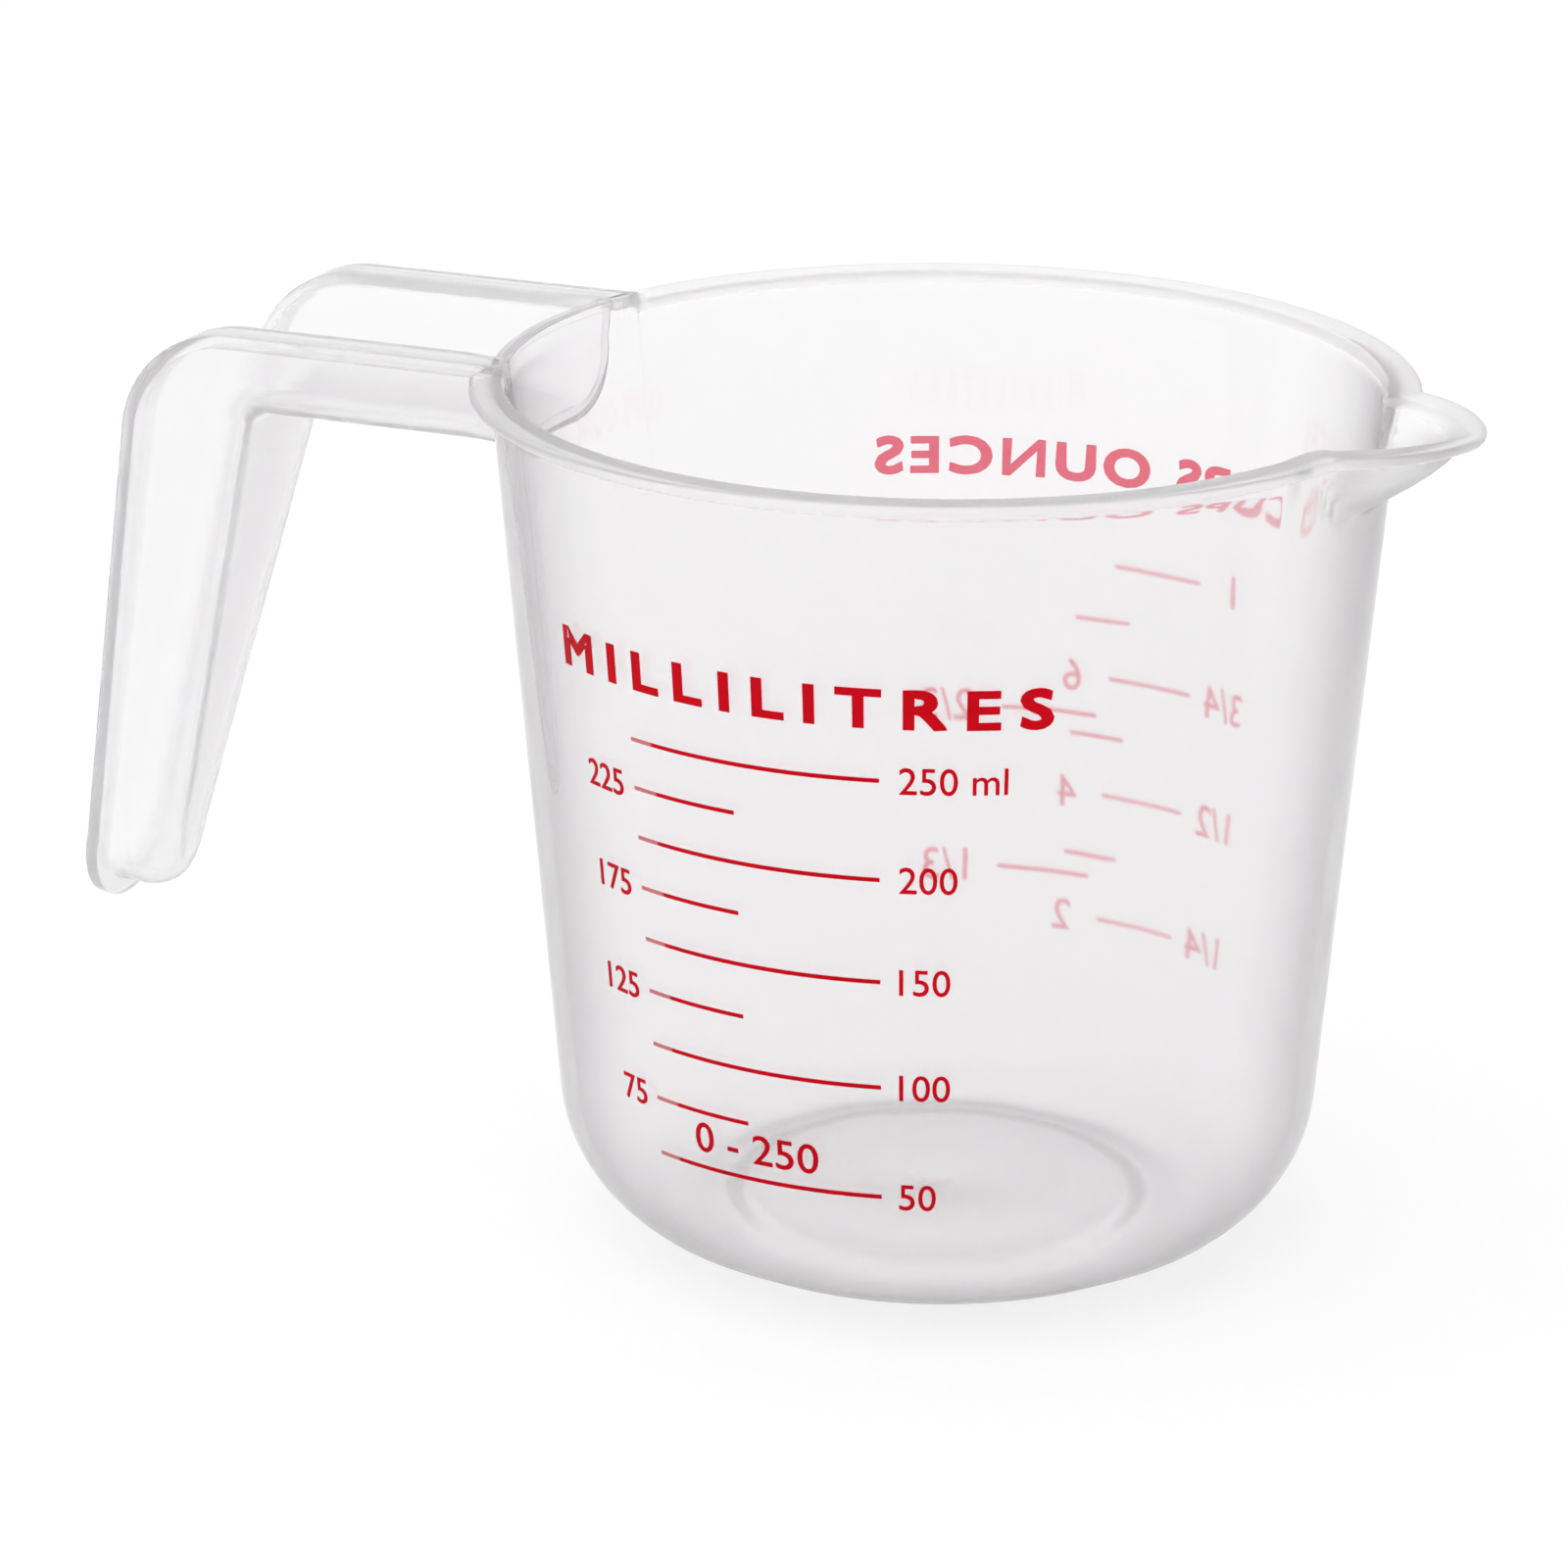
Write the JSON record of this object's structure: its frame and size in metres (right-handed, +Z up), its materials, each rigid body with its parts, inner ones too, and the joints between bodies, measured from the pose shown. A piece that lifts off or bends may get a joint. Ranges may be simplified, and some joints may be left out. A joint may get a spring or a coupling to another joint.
{
  "type": "measuring cup",
  "caption": "Translucent plastic measuring cup: tapered bowl with a rim lip and a pouring spout, an open trough handle opposite it, and volume scales printed in red on both sides.",
  "frame": {"origin": "middle of the cup's overall box, on the plane it stands on; the bowl's axis is 19.77 mm along +X from it", "axes": "+X along the cup towards the spout, -X towards the handle, -Y the side with the millilitre scale, +Z up"},
  "size_m": [0.1478, 0.0922, 0.087],
  "materials": {
    "cup_plastic": "milky translucent polypropylene, smooth",
    "red_ink": "red printing ink"
  },
  "bodies": {
    "root": {"bowl": "cup_plastic", "handle": "cup_plastic", "mark_50_ml": "red_ink", "mark_75_ml": "red_ink", "mark_100_ml": "red_ink", "mark_125_ml": "red_ink", "mark_150_ml": "red_ink", "mark_175_ml": "red_ink", "mark_200_ml": "red_ink", "mark_225_ml": "red_ink", "mark_250_ml": "red_ink", "mark_quarter_cup": "red_ink", "mark_third_cup": "red_ink", "mark_three_ounce": "red_ink", "mark_half_cup": "red_ink", "mark_five_ounce": "red_ink", "mark_two_third_cup": "red_ink", "mark_three_quarter_cup": "red_ink", "mark_seven_ounce": "red_ink", "mark_one_cup": "red_ink"}
  },
  "joints": []
}
